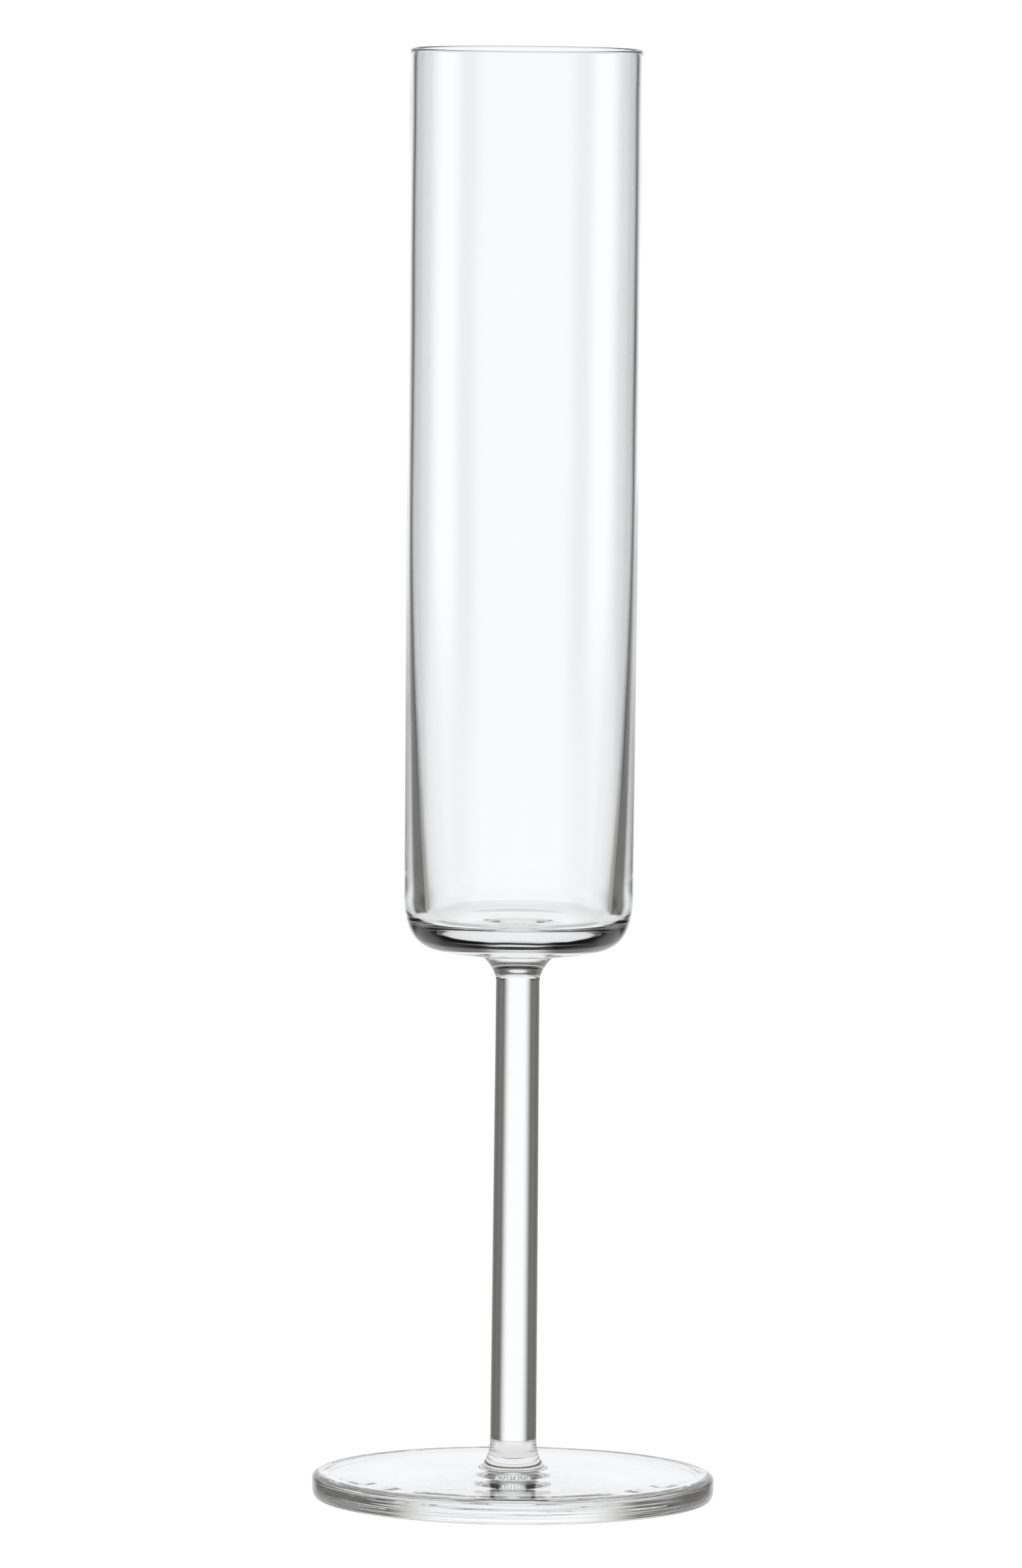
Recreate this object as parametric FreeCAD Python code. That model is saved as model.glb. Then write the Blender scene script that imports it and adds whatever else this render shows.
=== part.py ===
import FreeCAD, Part
import os

# Champagne flute in clear glass, standing upright on its foot: millimetres, +Z up,
# origin at the centre of the plane the foot stands on.
# Three pieces of glass are fused end to end: a pressed foot, a drawn stem and a tall
# cylindrical bowl. Each is one solid of revolution about Z. Neighbours share a flat
# round face, where the real pieces are fused, and nowhere overlap.
# The outlines are lines and cubic curves. Each pair called a shape holds the two handles,
# as (radius, height), that a curve leaves and arrives by.

# Overall
TOTAL_HEIGHT = 248.0
FOOT_RADIUS = 34.45

# Bowl: nearly straight outside, thin at the lip, thickening inside to a heavy base
LIP_OUTER_RADIUS = 19.75
WALL_AT_LIP = 0.95
HEEL_RADIUS = 19.55            # outside radius where the wall turns into the heel curve
HEEL_HEIGHT = 104.0
HEEL_SHAPE = ((13.7, 94.5), (19.46, 92.65))
OUTER_STRAIGHT_FROM = 215.0    # above this the outside is a true cylinder
OUTER_SHAPE = ((19.66, 130.0), (LIP_OUTER_RADIUS, 180.0))
INNER_STRAIGHT_FROM = 175.0    # above this the inside is a true cylinder
INNER_SHAPE = ((LIP_OUTER_RADIUS - WALL_AT_LIP, 150.0), (17.87, 125.5))
WELL_RADIUS = 16.16            # inside radius at the top of the inner bottom curve
WELL_HEIGHT = 103.0
WELL_SHAPE = ((15.94, 100.15), (15.6, 99.36))
FLOOR_RADIUS = 12.5            # the inside floor is almost flat within this radius
FLOOR_EDGE_HEIGHT = 99.32
FLOOR_CENTRE_HEIGHT = 99.0
FLOOR_SHAPE = ((8.0, 99.14), (4.0, 99.1))

# Stem: a drawn rod, very slightly thicker towards the foot, flared at both ends
STEM_TOP_RADIUS = 3.77
STEM_BOTTOM_RADIUS = 4.0
STEM_STRAIGHT_TOP = 89.05
STEM_STRAIGHT_BOTTOM = 9.5
BOWL_JOINT_RADIUS = 6.2        # fused face between stem and bowl
BOWL_JOINT_HEIGHT = 93.25
UPPER_FLARE_TURN = (STEM_TOP_RADIUS, 91.0)    # the single handle of the upper flare
FOOT_JOINT_RADIUS = 6.2        # fused face between stem and foot
FOOT_JOINT_HEIGHT = 5.26
LOWER_FLARE_SHAPE = ((5.46, 5.49), (4.36, 6.28))

# Foot: a disc with a top that falls gently outwards to a slightly raised bead at the
# rounded edge, and a shallow hollow underneath, so that it stands on a flat ring
BEAD_INNER_RADIUS = 31.6       # where the top meets the bead
BEAD_INNER_HEIGHT = 4.26
FOOT_WIDEST_HEIGHT = 3.24
BEAD_SHAPE = ((FOOT_RADIUS, 3.98), (33.73, 4.64))
LOWER_EDGE_SHAPE = ((34.35, 0.0), (FOOT_RADIUS, 1.05))
RING_OUTER_RADIUS = 33.25
RING_INNER_RADIUS = 26.0
HOLLOW_DEPTH = 0.38
HOLLOW_SHAPE = ((18.1, HOLLOW_DEPTH), (25.2, 0.0))


def point(radius, height):
    """A point of an outline, in the XZ half plane that is turned about Z."""
    return FreeCAD.Vector(radius, 0, height)


def line(start, end):
    return Part.LineSegment(point(*start), point(*end)).toShape()


def curve(*poles):
    """A Bezier curve that leaves its first pole and reaches its last one."""
    bezier = Part.BezierCurve()
    bezier.setPoles([point(*pole) for pole in poles])
    return bezier.toShape()


def arc(start, middle, end):
    return Part.Arc(point(*start), point(*middle), point(*end)).toShape()


def turned(edges):
    """The solid swept by a closed outline in one full turn about Z."""
    face = Part.Face(Part.Wire(edges))
    solid = face.revolve(FreeCAD.Vector(0, 0, 0), FreeCAD.Vector(0, 0, 1), 360)
    if not solid.isValid() or solid.Volume <= 0:
        raise ValueError("an outline did not turn into a valid solid")
    return solid


def bowl():
    """Tall cylinder with a rounded heel outside and a rounded well inside."""
    joint_edge = (BOWL_JOINT_RADIUS, BOWL_JOINT_HEIGHT)
    joint_centre = (0, BOWL_JOINT_HEIGHT)
    heel = (HEEL_RADIUS, HEEL_HEIGHT)
    outer_straight = (LIP_OUTER_RADIUS, OUTER_STRAIGHT_FROM)
    lip_inner_radius = LIP_OUTER_RADIUS - WALL_AT_LIP
    lip_base = TOTAL_HEIGHT - WALL_AT_LIP / 2
    lip_outside = (LIP_OUTER_RADIUS, lip_base)
    lip_top = (LIP_OUTER_RADIUS - WALL_AT_LIP / 2, TOTAL_HEIGHT)
    lip_inside = (lip_inner_radius, lip_base)
    inner_straight = (lip_inner_radius, INNER_STRAIGHT_FROM)
    well = (WELL_RADIUS, WELL_HEIGHT)
    floor_edge = (FLOOR_RADIUS, FLOOR_EDGE_HEIGHT)
    floor_centre = (0, FLOOR_CENTRE_HEIGHT)
    return turned([
        line(joint_centre, joint_edge),
        curve(joint_edge, *HEEL_SHAPE, heel),
        curve(heel, *OUTER_SHAPE, outer_straight),
        line(outer_straight, lip_outside),
        arc(lip_outside, lip_top, lip_inside),
        line(lip_inside, inner_straight),
        curve(inner_straight, *INNER_SHAPE, well),
        curve(well, *WELL_SHAPE, floor_edge),
        curve(floor_edge, *FLOOR_SHAPE, floor_centre),
        line(floor_centre, joint_centre),
    ])


def stem():
    """Drawn rod, flared to meet the foot below and the bowl above."""
    foot_centre = (0, FOOT_JOINT_HEIGHT)
    foot_edge = (FOOT_JOINT_RADIUS, FOOT_JOINT_HEIGHT)
    rod_bottom = (STEM_BOTTOM_RADIUS, STEM_STRAIGHT_BOTTOM)
    rod_top = (STEM_TOP_RADIUS, STEM_STRAIGHT_TOP)
    bowl_edge = (BOWL_JOINT_RADIUS, BOWL_JOINT_HEIGHT)
    bowl_centre = (0, BOWL_JOINT_HEIGHT)
    return turned([
        line(foot_centre, foot_edge),
        curve(foot_edge, *LOWER_FLARE_SHAPE, rod_bottom),
        line(rod_bottom, rod_top),
        curve(rod_top, UPPER_FLARE_TURN, bowl_edge),
        line(bowl_edge, bowl_centre),
        line(bowl_centre, foot_centre),
    ])


def foot():
    """Round disc that stands on a flat ring near its edge."""
    hollow_centre = (0, HOLLOW_DEPTH)
    ring_inner = (RING_INNER_RADIUS, 0)
    ring_outer = (RING_OUTER_RADIUS, 0)
    widest = (FOOT_RADIUS, FOOT_WIDEST_HEIGHT)
    bead_inner = (BEAD_INNER_RADIUS, BEAD_INNER_HEIGHT)
    joint_edge = (FOOT_JOINT_RADIUS, FOOT_JOINT_HEIGHT)
    joint_centre = (0, FOOT_JOINT_HEIGHT)
    return turned([
        curve(hollow_centre, *HOLLOW_SHAPE, ring_inner),
        line(ring_inner, ring_outer),
        curve(ring_outer, *LOWER_EDGE_SHAPE, widest),
        curve(widest, *BEAD_SHAPE, bead_inner),
        line(bead_inner, joint_edge),
        line(joint_edge, joint_centre),
        line(joint_centre, hollow_centre),
    ])


os.makedirs("parts", exist_ok=True)
for name, build in (("bowl", bowl), ("stem", stem), ("foot", foot)):
    solid = build()
    solid.exportStep(f"parts/{name}.step")
    print(name, "volume", round(solid.Volume / 1000, 2), "cm3")
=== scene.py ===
import math

import bmesh
import bpy
import numpy as np
from mathutils import Matrix, Vector


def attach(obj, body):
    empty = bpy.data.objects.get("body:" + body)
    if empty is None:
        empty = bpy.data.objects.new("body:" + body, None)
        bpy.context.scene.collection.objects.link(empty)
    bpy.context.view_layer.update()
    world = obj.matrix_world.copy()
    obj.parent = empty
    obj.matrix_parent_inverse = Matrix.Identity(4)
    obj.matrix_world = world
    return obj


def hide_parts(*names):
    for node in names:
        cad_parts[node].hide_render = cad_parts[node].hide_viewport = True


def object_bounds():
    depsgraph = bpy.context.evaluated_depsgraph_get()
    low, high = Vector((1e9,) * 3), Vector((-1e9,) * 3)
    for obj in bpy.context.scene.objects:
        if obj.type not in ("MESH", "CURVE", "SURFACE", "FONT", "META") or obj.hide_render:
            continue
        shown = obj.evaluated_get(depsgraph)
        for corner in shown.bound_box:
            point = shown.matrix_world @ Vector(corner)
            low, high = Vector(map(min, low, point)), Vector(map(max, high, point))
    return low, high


# Champagne flute in clear glass, standing on a pale floor. Metres, +Z up. The three
# fused pieces of glass, bowl, stem and foot, are each turned from the same outline as
# their CAD node, with the marks of making that the CAD outlines leave out.

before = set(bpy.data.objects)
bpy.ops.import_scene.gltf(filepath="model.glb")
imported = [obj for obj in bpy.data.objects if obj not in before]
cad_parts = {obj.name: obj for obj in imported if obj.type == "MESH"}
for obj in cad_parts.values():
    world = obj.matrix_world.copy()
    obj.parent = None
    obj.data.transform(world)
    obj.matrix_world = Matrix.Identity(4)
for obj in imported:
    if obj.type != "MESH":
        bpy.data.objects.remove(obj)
CAD_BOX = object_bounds()

MM = 0.001
TURNS = 320                  # faces round a piece
SPACING = 0.28 * MM          # greatest distance between rings of a tight curve
LONG_SPACING = 0.9 * MM      # and of a nearly straight wall
FLARE_SPACING = 0.15 * MM    # and of the well and the flares, which bend light most
HEEL_SPACING = 0.2 * MM
FOOT_EDGE_SPACING = 0.1 * MM
LIP_SPACING = 0.06 * MM
AXIS_REACH = 1e-7            # a point closer to the axis than this is on it

# The CAD outlines, in millimetres, as points of (radius, height). Each pair called a shape
# holds the two handles that a curve leaves and arrives by.
JOINT_WITH_BOWL = (6.2, 93.25)
JOINT_WITH_BOWL_CENTRE = (0, 93.25)
JOINT_WITH_FOOT = (6.2, 5.26)
JOINT_WITH_FOOT_CENTRE = (0, 5.26)
HEEL_TOP = (19.55, 104)
HEEL_SHAPE = ((13.7, 94.5), (19.46, 92.65))
OUTER_STRAIGHT = (19.75, 215)
OUTER_SHAPE = ((19.66, 130), (19.75, 180))
LIP_OUTSIDE = (19.75, 247.525)
LIP_CENTRE = (19.275, 247.525)
LIP_INSIDE = (18.8, 247.525)
INNER_STRAIGHT = (18.8, 175)
INNER_SHAPE = ((18.8, 150), (17.87, 125.5))
WELL_TOP = (16.16, 103)
WELL_SHAPE = ((15.94, 100.15), (15.6, 99.36))
FLOOR_EDGE = (12.5, 99.32)
FLOOR_SHAPE = ((8, 99.14), (4, 99.1))
FLOOR_CENTRE = (0, 99)
ROD_BOTTOM = (4, 9.5)
ROD_TOP = (3.77, 89.05)
LOWER_FLARE_SHAPE = ((5.46, 5.49), (4.36, 6.28))
UPPER_FLARE_TURN = (3.77, 91)
HOLLOW_CENTRE = (0, 0.38)
HOLLOW_SHAPE = ((18.1, 0.38), (25.2, 0))
RING_INNER = (26, 0)
RING_OUTER = (33.25, 0)
LOWER_EDGE_SHAPE = ((34.35, 0), (34.45, 1.05))
FOOT_WIDEST = (34.45, 3.24)
BEAD_SHAPE = ((34.45, 3.98), (33.73, 4.64))
BEAD_INNER = (31.6, 4.26)


# ---------------------------------------------------------------- outlines

def bezier(poles, spacing):
    """Points on a Bezier curve given by (radius, height) poles in mm, without the first."""
    poles = np.array(poles, float) * MM
    length = np.linalg.norm(np.diff(poles, axis=0), axis=1).sum()
    steps = max(2, math.ceil(length / spacing))
    points = []
    for t in np.linspace(0, 1, steps + 1)[1:]:
        level = poles
        while len(level) > 1:
            level = level[:-1] * (1 - t) + level[1:] * t
        points.append(level[0])
    return points


def run(start, end, spacing):
    """Points on a straight line, without the first."""
    return bezier([start, end], spacing)


def half_round(start, centre, spacing, turn):
    """Points on a half circle about centre, turning by turn radians, without the first."""
    start, centre = np.array(start, float) * MM, np.array(centre, float) * MM
    reach = start - centre
    radius = np.linalg.norm(reach)
    first = math.atan2(reach[1], reach[0])
    steps = math.ceil(abs(turn) * radius / spacing)
    return [
        centre + radius * np.array([math.cos(first + turn * i / steps),
                                    math.sin(first + turn * i / steps)])
        for i in range(1, steps + 1)
    ]


class Outline:
    """A closed outline from axis to axis, with named stretches."""

    def __init__(self, start):
        self.points = [np.array(start, float) * MM]
        self.stretch = {}

    def add(self, name, points):
        first = len(self.points) - 1
        self.points.extend(points)
        self.stretch[name] = (first, len(self.points) - 1)


def ruled(outline):
    """The outline's points, and the unit normal at each, pointing out of the glass."""
    points = np.array(outline.points)
    along = np.gradient(points, axis=0)
    along /= np.linalg.norm(along, axis=1)[:, None]
    return points, np.stack([along[:, 1], -along[:, 0]], axis=1)


def lengths(points):
    return np.concatenate([[0], np.cumsum(np.linalg.norm(np.diff(points, axis=0), axis=1))])


def fade(s, start, end, edge):
    """1 between start and end, falling smoothly to 0 within edge inside each end."""
    rise = np.clip((s - start) / edge, 0, 1)
    drop = np.clip((end - s) / edge, 0, 1)
    both = np.minimum(rise, drop)
    return both * both * (3 - 2 * both)


def striae(s, angles, start, end, edge, pitch, depth, seed):
    """Fine uneven rings, the marks of a tool or mould that the hot glass turned against.
    They wander as they go round. pitch is their spacing and depth their whole height."""
    rng = np.random.default_rng(seed)
    lift = np.zeros((len(s), len(angles)))
    for _ in range(4):
        wander = sum(rng.uniform(0.3, 1.2) * np.sin(n * angles + rng.uniform(0, 2 * math.pi))
                     for n in (1, 2, 3))
        close = 2 * math.pi / (pitch * rng.uniform(0.7, 1.5))
        lift += np.sin(close * s[:, None] + wander[None, :] + rng.uniform(0, 2 * math.pi))
    return depth / 8 * lift * fade(s, start, end, edge)[:, None]


def wobble(s, angles, start, end, edge, height, depth, seed):
    """Slow unevenness of a wall, of a few waves round and along it."""
    rng = np.random.default_rng(seed)
    lift = np.zeros((len(s), len(angles)))
    for n in (2, 3, 4, 5):
        along = 2 * math.pi / (height * rng.uniform(0.7, 1.4))
        lift += np.sin(n * angles[None, :] + rng.uniform(0, 2 * math.pi)
                       + 1.4 * np.sin(along * s[:, None] + rng.uniform(0, 2 * math.pi)))
    return depth / 8 * lift * fade(s, start, end, edge)[:, None]


def reach(outline, s, first, last=None):
    """Where a stretch, or a run of them, starts and ends along the outline."""
    return s[outline.stretch[first][0]], s[outline.stretch[last or first][1]]


def turned(name, outline, joints, relief, material):
    """A closed mesh turned from an outline. relief lifts each point of each ring along its
    normal; joints names the stretches that are faces fused to a neighbour."""
    points, normals = ruled(outline)
    s = lengths(points)
    angles = np.arange(TURNS) * 2 * math.pi / TURNS
    lift = relief(outline, s, angles)
    r = points[:, 0][:, None] + normals[:, 0][:, None] * lift
    z = points[:, 1][:, None] + normals[:, 1][:, None] * lift
    x, y = r * np.cos(angles), r * np.sin(angles)
    bm = bmesh.new()
    rings = []
    for i in range(len(points)):
        if points[i, 0] < AXIS_REACH:
            rings.append([bm.verts.new((0, 0, points[i, 1]))] * TURNS)
        else:
            rings.append([bm.verts.new((x[i, k], y[i, k], z[i, k])) for k in range(TURNS)])
    fused = [range(*outline.stretch[j]) for j in joints]
    rims = set()
    for j in joints:
        rims.update(i for i in outline.stretch[j] if points[i, 0] > AXIS_REACH)
    for i in range(len(points) - 1):
        hidden = any(i in span for span in fused)
        for k in range(TURNS):
            n = (k + 1) % TURNS
            corners = [rings[i][k], rings[i][n], rings[i + 1][n], rings[i + 1][k]]
            corners = list(dict.fromkeys(corners))
            face = bm.faces.new(corners)
            face.smooth = True
            face.material_index = 1 if hidden else 0
    for i in rims:
        ring = rings[i]
        for k in range(TURNS):
            edge = bm.edges.get((ring[k], ring[(k + 1) % TURNS]))
            edge.smooth = False
    bmesh.ops.recalc_face_normals(bm, faces=bm.faces[:])
    mesh = bpy.data.meshes.new(name)
    bm.to_mesh(mesh)
    bm.free()
    mesh.materials.append(material)
    mesh.materials.append(JOINT)
    piece = bpy.data.objects.new(name, mesh)
    bpy.context.scene.collection.objects.link(piece)
    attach(piece, "root")
    return piece


# ---------------------------------------------------------------- materials

def shader(name):
    """A new material with its node tree emptied down to an output."""
    material = bpy.data.materials.new(name)
    material.use_nodes = True
    nodes = material.node_tree.nodes
    nodes.clear()
    return material, nodes, material.node_tree.links, nodes.new("ShaderNodeOutputMaterial")


def joint_material():
    """Inside faces where two pieces are one glass: light goes straight on."""
    material, nodes, links, out = shader("fused_joint")
    clear = nodes.new("ShaderNodeBsdfTransparent")
    links.new(clear.outputs[0], out.inputs["Surface"])
    return material


def glass_material(name, colour, stretch, wave, depth, haze):
    """Clear glass with faint waviness left by its making, and a faint film on the surface.
    stretch scales the waves along X, Y and Z, wave is their size and depth their height."""
    material, nodes, links, out = shader(name)
    glass = nodes.new("ShaderNodeBsdfPrincipled")
    glass.inputs["Base Color"].default_value = (*colour, 1)
    glass.inputs["Transmission Weight"].default_value = 1
    glass.inputs["IOR"].default_value = 1.52
    links.new(glass.outputs[0], out.inputs["Surface"])
    place = nodes.new("ShaderNodeTexCoord")
    mapping = nodes.new("ShaderNodeMapping")
    mapping.inputs["Scale"].default_value = stretch
    links.new(place.outputs["Object"], mapping.inputs["Vector"])
    waves = nodes.new("ShaderNodeTexNoise")
    waves.inputs["Scale"].default_value = 1 / wave
    waves.inputs["Detail"].default_value = 2
    links.new(mapping.outputs[0], waves.inputs["Vector"])
    bump = nodes.new("ShaderNodeBump")
    bump.inputs["Strength"].default_value = 1
    bump.inputs["Distance"].default_value = depth
    links.new(waves.outputs[0], bump.inputs["Height"])
    links.new(bump.outputs[0], glass.inputs["Normal"])
    film = nodes.new("ShaderNodeTexNoise")
    film.inputs["Scale"].default_value = 60
    film.inputs["Detail"].default_value = 4
    links.new(place.outputs["Object"], film.inputs["Vector"])
    amount = nodes.new("ShaderNodeMapRange")
    amount.inputs["From Min"].default_value = 0.35
    amount.inputs["From Max"].default_value = 0.75
    amount.inputs["To Min"].default_value = 0
    amount.inputs["To Max"].default_value = haze
    links.new(film.outputs[0], amount.inputs["Value"])
    links.new(amount.outputs[0], glass.inputs["Roughness"])
    return material


JOINT = joint_material()
CLEAR = (0.99, 0.993, 0.99)
BOWL_GLASS = glass_material("bowl_clear_glass", CLEAR, (1, 1, 1.6), 12 * MM, 0.003 * MM, 0.012)
STEM_GLASS = glass_material("stem_clear_glass", CLEAR, (1, 1, 0.04), 1.2 * MM, 0.00015 * MM, 0.012)
FOOT_GLASS = glass_material("foot_clear_glass", CLEAR, (1, 1, 1), 9 * MM, 0.004 * MM, 0.012)


# ---------------------------------------------------------------- pieces

def bowl_outline():
    o = Outline(JOINT_WITH_BOWL_CENTRE)
    o.add("joint", run(JOINT_WITH_BOWL_CENTRE, JOINT_WITH_BOWL, LONG_SPACING))
    o.add("heel", bezier([JOINT_WITH_BOWL, *HEEL_SHAPE, HEEL_TOP], HEEL_SPACING))
    o.add("outside", bezier([HEEL_TOP, *OUTER_SHAPE, OUTER_STRAIGHT], LONG_SPACING))
    o.add("outside_top", run(OUTER_STRAIGHT, LIP_OUTSIDE, LONG_SPACING))
    o.add("lip", half_round(LIP_OUTSIDE, LIP_CENTRE, LIP_SPACING, math.pi))
    o.add("inside_top", run(LIP_INSIDE, INNER_STRAIGHT, LONG_SPACING))
    o.add("inside", bezier([INNER_STRAIGHT, *INNER_SHAPE, WELL_TOP], LONG_SPACING))
    o.add("well", bezier([WELL_TOP, *WELL_SHAPE, FLOOR_EDGE], FLARE_SPACING))
    o.add("floor", bezier([FLOOR_EDGE, *FLOOR_SHAPE, FLOOR_CENTRE], SPACING))
    return o


def bowl_relief(outline, s, angles):
    """Uneven inside wall, turning marks round the heel and faint rings on the floor."""
    return (
        wobble(s, angles, *reach(outline, s, "inside_top", "inside"), 8 * MM, 70 * MM,
               0.035 * MM, 11)
        + striae(s, angles, *reach(outline, s, "heel"), 3 * MM, 1.3 * MM, 0.0015 * MM, 12)
        + striae(s, angles, *reach(outline, s, "floor"), 2 * MM, 2.2 * MM, 0.003 * MM, 13)
    )


def stem_outline():
    o = Outline(JOINT_WITH_FOOT_CENTRE)
    o.add("foot_joint", run(JOINT_WITH_FOOT_CENTRE, JOINT_WITH_FOOT, LONG_SPACING))
    o.add("lower_flare", bezier([JOINT_WITH_FOOT, *LOWER_FLARE_SHAPE, ROD_BOTTOM], FLARE_SPACING))
    o.add("rod", run(ROD_BOTTOM, ROD_TOP, LONG_SPACING))
    o.add("upper_flare", bezier([ROD_TOP, UPPER_FLARE_TURN, JOINT_WITH_BOWL], FLARE_SPACING))
    o.add("bowl_joint", run(JOINT_WITH_BOWL, JOINT_WITH_BOWL_CENTRE, LONG_SPACING))
    return o


def stem_relief(outline, s, angles):
    """A drawn rod is a little thicker and thinner along its length."""
    return wobble(s, angles, *reach(outline, s, "rod"), 5 * MM, 30 * MM, 0.006 * MM, 21)


def foot_outline():
    o = Outline(HOLLOW_CENTRE)
    o.add("hollow", bezier([HOLLOW_CENTRE, *HOLLOW_SHAPE, RING_INNER], LONG_SPACING))
    o.add("ring", run(RING_INNER, RING_OUTER, LONG_SPACING))
    o.add("lower_edge", bezier([RING_OUTER, *LOWER_EDGE_SHAPE, FOOT_WIDEST], FOOT_EDGE_SPACING))
    o.add("upper_edge", bezier([FOOT_WIDEST, *BEAD_SHAPE, BEAD_INNER], FOOT_EDGE_SPACING))
    o.add("top", run(BEAD_INNER, JOINT_WITH_FOOT, SPACING))
    o.add("joint", run(JOINT_WITH_FOOT, JOINT_WITH_FOOT_CENTRE, LONG_SPACING))
    return o


def foot_relief(outline, s, angles):
    """Pressing rings on the top, and grooves along the rounded edge. The grooves only go
    inwards, so that the foot keeps its full width."""
    top = reach(outline, s, "top")
    edge = reach(outline, s, "lower_edge", "upper_edge")
    grooves = striae(s, angles, *edge, 0.5 * MM, 0.62 * MM, 0.02 * MM, 31)
    return (
        grooves - grooves.max(axis=0, keepdims=True) * fade(s, *edge, 0.5 * MM)[:, None]
        + striae(s, angles, top[1] - 12 * MM, top[1], 3 * MM, 2.1 * MM, 0.012 * MM, 32)
        + wobble(s, angles, *top, 5 * MM, 20 * MM, 0.010 * MM, 33)
    )


bowl = turned("flute_bowl", bowl_outline(), ("joint",), bowl_relief, BOWL_GLASS)
stem = turned("flute_stem", stem_outline(), ("foot_joint", "bowl_joint"), stem_relief,
              STEM_GLASS)
foot = turned("flute_foot", foot_outline(), ("joint",), foot_relief, FOOT_GLASS)
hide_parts("bowl")
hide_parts("stem")
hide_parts("foot")


# ---------------------------------------------------------------- studio

# A plain studio for clear glass. Each light or surface is a soft-edged patch of the surroundings:
# (azimuth, half width, lowest, highest, brightness), in degrees. Azimuth 0 is straight behind
# the flute (+Y) and turns towards +X. Each patch is laid over the ones before it.
ALL_ROUND = 180
DARK_ROOM = 0.12
ROOM = (
    (0, ALL_ROUND, -90, -10, 0.9),      # pale table top
    (0, ALL_ROUND, -90, -40, 0.6),      # the table close to the flute, in its shade
    (-90, 14, -90, -8, 0.15),           # black card on the table at the left
    (90, 14, -90, -8, 0.15),            # and at the right
    (-40, 8, -18, 10, 0.1),             # black flag behind at the left, to darken the walls
    (40, 8, -18, 10, 0.1),              # and at the right
    (0, 10, -18, 34, 1.02),             # tall white panel between them
    (0, 32, 10, 32, 0.9),               # wider soft light above its middle
    (-90, 3, -8, 6, 1.0),               # low white panel at the left
    (90, 3, -8, 6, 1.0),                # and at the right
    (180, 40, -14, 4, 0.7),             # dimmer room in front
    (0, ALL_ROUND, 70, 90, 0.85),       # soft light overhead
)
SOFT_ACROSS, SOFT_UP = 20, 3
# Dark parts are slightly warm and bright parts slightly cool.
WARM, COOL = (1.03, 1.0, 0.92), (0.985, 1.0, 1.03)
SEEN_WHITE = 1.02            # the pale floor and background where the camera sees them directly
# How far the foot shades the table, and how much.
SHADE_INNER, SHADE_OUTER = 0.034, 0.044
SHADE = (0.8, 0.797, 0.793)
FLOOR_REACH = 30
FLOOR_GAP = 0.0002           # the floor lies this far under the foot's ring

# A long lens a little above the rim, rolled slightly, as the flute leans.
LENS_MM, SENSOR_MM = 289.4, 36
CAMERA_PLACE = (0, -2.143, 0.300)
AIM_ASIDE, AIM_BELOW_MIDDLE = -0.0015, 0.0013
ROLL = math.radians(0.57)


class Tree:
    """A node tree, and short ways to add to it."""

    def __init__(self, tree):
        self.nodes, self.links = tree.nodes, tree.links

    def add(self, kind, **settings):
        node = self.nodes.new("ShaderNode" + kind)
        for key, value in settings.items():
            setattr(node, key, value)
        return node

    def math(self, operation, *values):
        node = self.add("Math", operation=operation)
        for socket, value in zip(node.inputs, values):
            if isinstance(value, (int, float)):
                socket.default_value = value
            else:
                self.links.new(value, socket)
        return node.outputs[0]

    def ranged(self, value, a, b, c=0.0, d=1.0):
        """c up to a and d beyond b, changing smoothly between them."""
        node = self.add("MapRange", interpolation_type="SMOOTHSTEP")
        for key, number in (("From Min", a), ("From Max", b), ("To Min", c), ("To Max", d)):
            node.inputs[key].default_value = number
        self.links.new(value, node.inputs["Value"])
        return node.outputs[0]

    def mixed(self, factor, a, b):
        """Colour a where factor is 0 and b where it is 1."""
        node = self.add("Mix", data_type="RGBA")
        self.links.new(factor, node.inputs["Factor"])
        for key, value in (("A", a), ("B", b)):
            socket = [i for i in node.inputs if i.name == key and i.type == "RGBA"][0]
            if isinstance(value, tuple):
                socket.default_value = (*value, 1)
            else:
                self.links.new(value, socket)
        return [o for o in node.outputs if o.type == "RGBA"][0]

    def patch(self, azimuth, height, level, centre, half, low, high, brightness):
        """Lay one soft-edged patch of the studio over the brightness so far."""
        soft = math.radians(SOFT_UP)
        low, high = math.radians(low), math.radians(high)
        share = self.math("MULTIPLY", self.ranged(height, low - soft, low + soft),
                          self.ranged(height, high - soft, high + soft, 1, 0))
        if half < ALL_ROUND:
            turned_by = self.math("SUBTRACT", azimuth, math.radians(centre))
            across = self.ranged(self.math("COSINE", turned_by),
                                 math.cos(math.radians(half + SOFT_ACROSS)),
                                 math.cos(math.radians(half)))
            share = self.math("MULTIPLY", share, across)
        change = self.math("SUBTRACT", brightness, level)
        return self.math("MULTIPLY_ADD", change, share, level)

    def split(self, vector):
        node = self.add("SeparateXYZ")
        self.links.new(vector, node.inputs[0])
        return node.outputs


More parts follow.
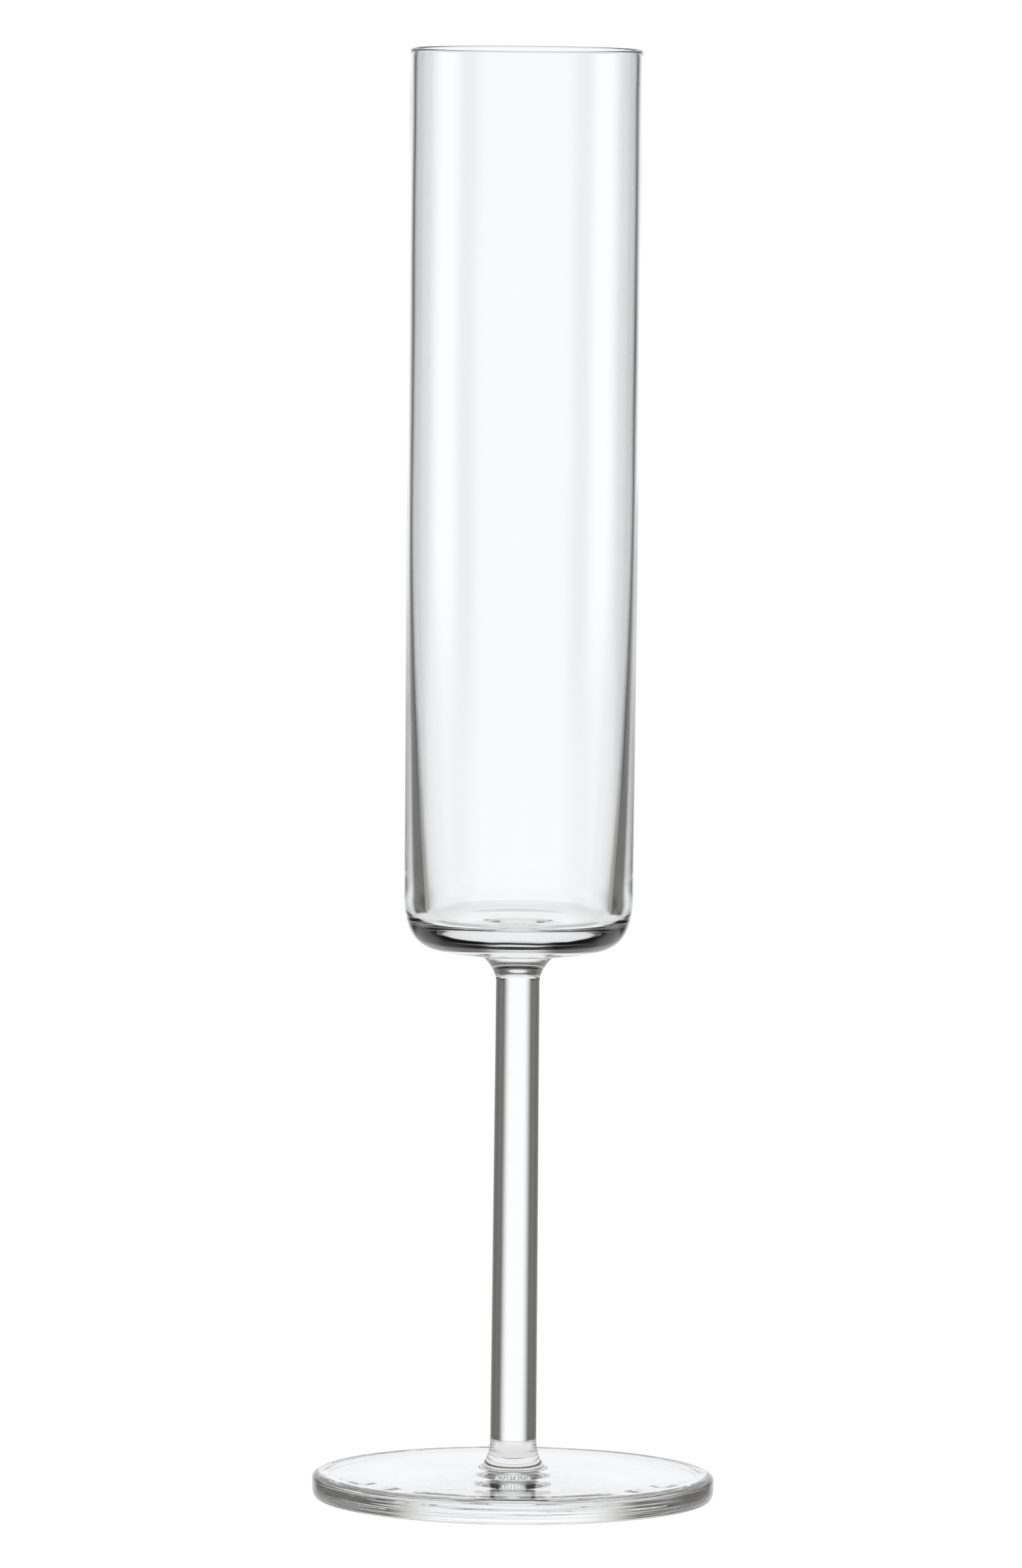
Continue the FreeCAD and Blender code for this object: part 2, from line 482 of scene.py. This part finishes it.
def make_floor():
    """A wide pale floor. Light in the glass sees the part that the foot shades, and beyond
    it the table top that the room's lowest patches stand for."""
    material, nodes, links, out = shader("pale_floor")
    tree = Tree(material.node_tree)
    place = tree.split(tree.add("TexCoord").outputs["Object"])
    reach = tree.math("SQRT", tree.math("ADD", tree.math("POWER", place["X"], 2),
                                        tree.math("POWER", place["Y"], 2)))
    shade = tree.add("Emission")
    shade.inputs["Color"].default_value = (*SHADE, 1)
    clear = tree.add("BsdfTransparent")
    top = tree.add("MixShader")
    links.new(tree.ranged(reach, SHADE_INNER, SHADE_OUTER), top.inputs[0])
    links.new(shade.outputs[0], top.inputs[1])
    links.new(clear.outputs[0], top.inputs[2])
    pale = tree.add("Emission")
    pale.inputs["Strength"].default_value = SEEN_WHITE
    whole = tree.add("MixShader")
    links.new(tree.add("LightPath").outputs["Is Camera Ray"], whole.inputs[0])
    links.new(top.outputs[0], whole.inputs[1])
    links.new(pale.outputs[0], whole.inputs[2])
    links.new(whole.outputs[0], out.inputs["Surface"])
    mesh = bpy.data.meshes.new("floor")
    bm = bmesh.new()
    bmesh.ops.create_circle(bm, cap_ends=True, radius=FLOOR_REACH, segments=96)
    bm.to_mesh(mesh)
    bm.free()
    mesh.materials.append(material)
    floor = bpy.data.objects.new("floor", mesh)
    bpy.context.scene.collection.objects.link(floor)
    floor.location.z = -FLOOR_GAP


def make_world():
    world = bpy.data.worlds.new("studio")
    bpy.context.scene.world = world
    world.use_nodes = True
    world.node_tree.nodes.clear()
    tree = Tree(world.node_tree)
    out = tree.add("OutputWorld")
    way = tree.split(tree.add("TexCoord").outputs["Generated"])
    azimuth = tree.math("ARCTAN2", way["X"], way["Y"])
    height = tree.math("ARCSINE", way["Z"])
    level = DARK_ROOM
    for patch in ROOM:
        level = tree.patch(azimuth, height, level, *patch)
    seen = tree.add("Background")
    tree.links.new(tree.mixed(level, WARM, COOL), seen.inputs["Color"])
    tree.links.new(level, seen.inputs["Strength"])
    behind = tree.add("Background")
    behind.inputs["Strength"].default_value = SEEN_WHITE
    behind.inputs["Color"].default_value = (1, 1, 1, 1)
    mix = tree.add("MixShader")
    tree.links.new(tree.add("LightPath").outputs["Is Camera Ray"], mix.inputs[0])
    tree.links.new(seen.outputs[0], mix.inputs[1])
    tree.links.new(behind.outputs[0], mix.inputs[2])
    tree.links.new(mix.outputs[0], out.inputs["Surface"])


def make_camera():
    """The camera, looking down a little at the middle of the flute."""
    lo, hi = CAD_BOX
    middle = (lo.z + hi.z) / 2
    data = bpy.data.cameras.new("camera")
    data.lens = LENS_MM
    data.sensor_width = SENSOR_MM
    data.clip_end = 100
    camera = bpy.data.objects.new("camera", data)
    bpy.context.scene.collection.objects.link(camera)
    camera.location = CAMERA_PLACE
    aim = Vector((AIM_ASIDE, 0, middle - AIM_BELOW_MIDDLE))
    turn = (aim - camera.location).to_track_quat("-Z", "Y").to_matrix().to_4x4()
    roll = Matrix.Rotation(ROLL, 4, "Z")
    camera.matrix_world = Matrix.Translation(camera.location) @ turn @ roll
    bpy.context.scene.camera = camera


make_floor()
make_world()
make_camera()

scene = bpy.context.scene
scene.view_settings.view_transform = "Standard"
scene.cycles.max_bounces = 32
scene.cycles.transmission_bounces = 32
scene.cycles.glossy_bounces = 16
scene.cycles.transparent_max_bounces = 32
